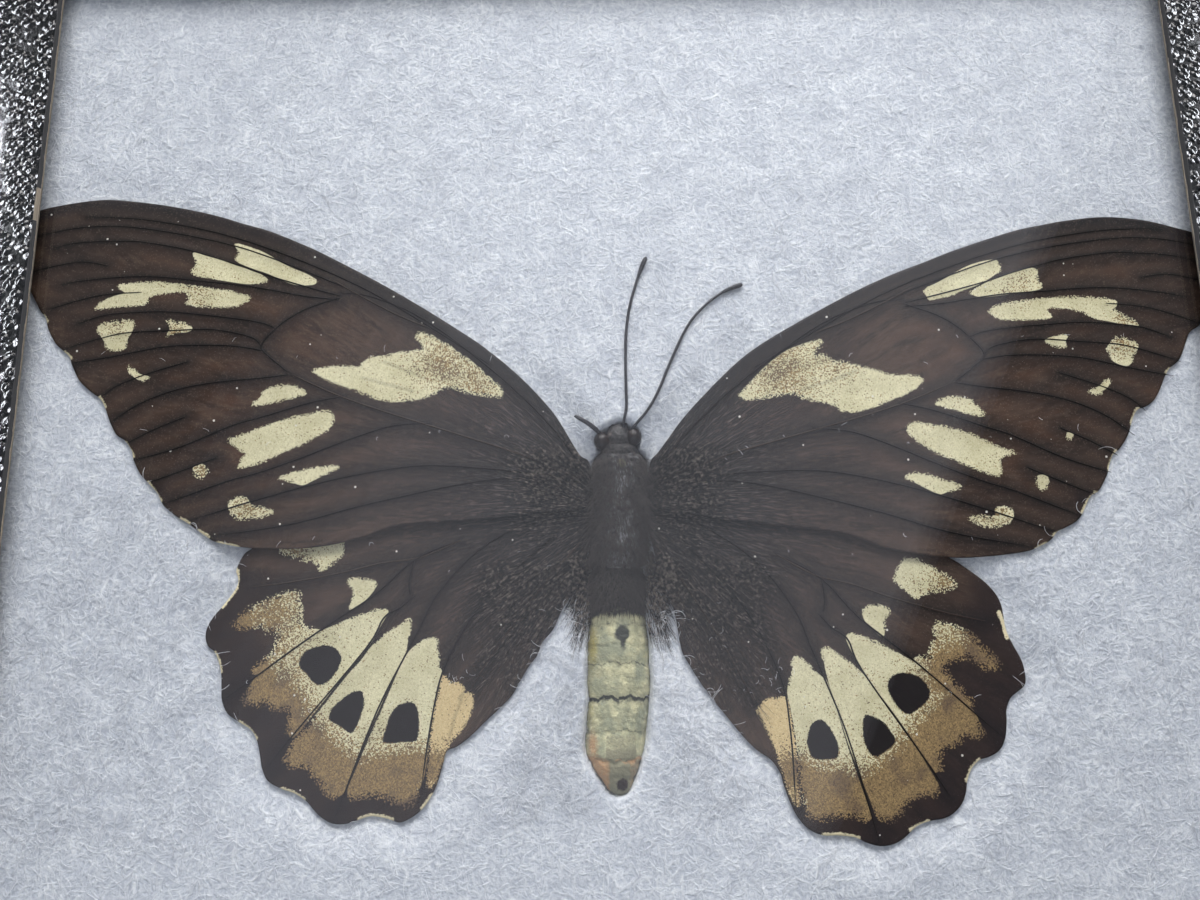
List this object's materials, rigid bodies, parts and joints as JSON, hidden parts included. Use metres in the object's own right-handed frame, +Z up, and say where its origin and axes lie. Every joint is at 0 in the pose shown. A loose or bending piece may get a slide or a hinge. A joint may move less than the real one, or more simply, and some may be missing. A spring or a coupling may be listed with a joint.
{
  "type": "framed butterfly specimen",
  "caption": "Shallow square display case with a leatherette lid and glass window, holding a spread butterfly specimen on cotton batting.",
  "frame": {"origin": "middle of the underside of the case's base board", "axes": "+Z up out of the glass, +Y towards the butterfly's head, +X towards its wings on the right seen from above"},
  "size_m": [0.2116, 0.2116, 0.02],
  "materials": {
    "case_board": "pale uncoated card",
    "leatherette": "black pebbled paper with a satin shine",
    "glass": "clear window glass",
    "pin_steel": "plain steel",
    "cotton_batting": "fluffy white fibre",
    "wing": "matt scaled membrane, dark brown with cream patches",
    "dark_body": "black, dusty and slightly hairy",
    "pale_abdomen": "matt cream with dark rings"
  },
  "bodies": {
    "root": {"case_base": "case_board", "case_lid": "leatherette", "glass_pane": "glass", "lid_pin_left": "pin_steel", "lid_pin_right": "pin_steel", "lid_pin_top": "pin_steel", "lid_pin_bottom": "pin_steel", "batting": "cotton_batting", "forewing_left": "wing", "forewing_right": "wing", "hindwing_left": "wing", "hindwing_right": "wing", "head": "dark_body", "thorax": "dark_body", "abdomen": "pale_abdomen", "antenna_left": "dark_body", "antenna_right": "dark_body", "foreleg_left": "dark_body"}
  },
  "joints": []
}
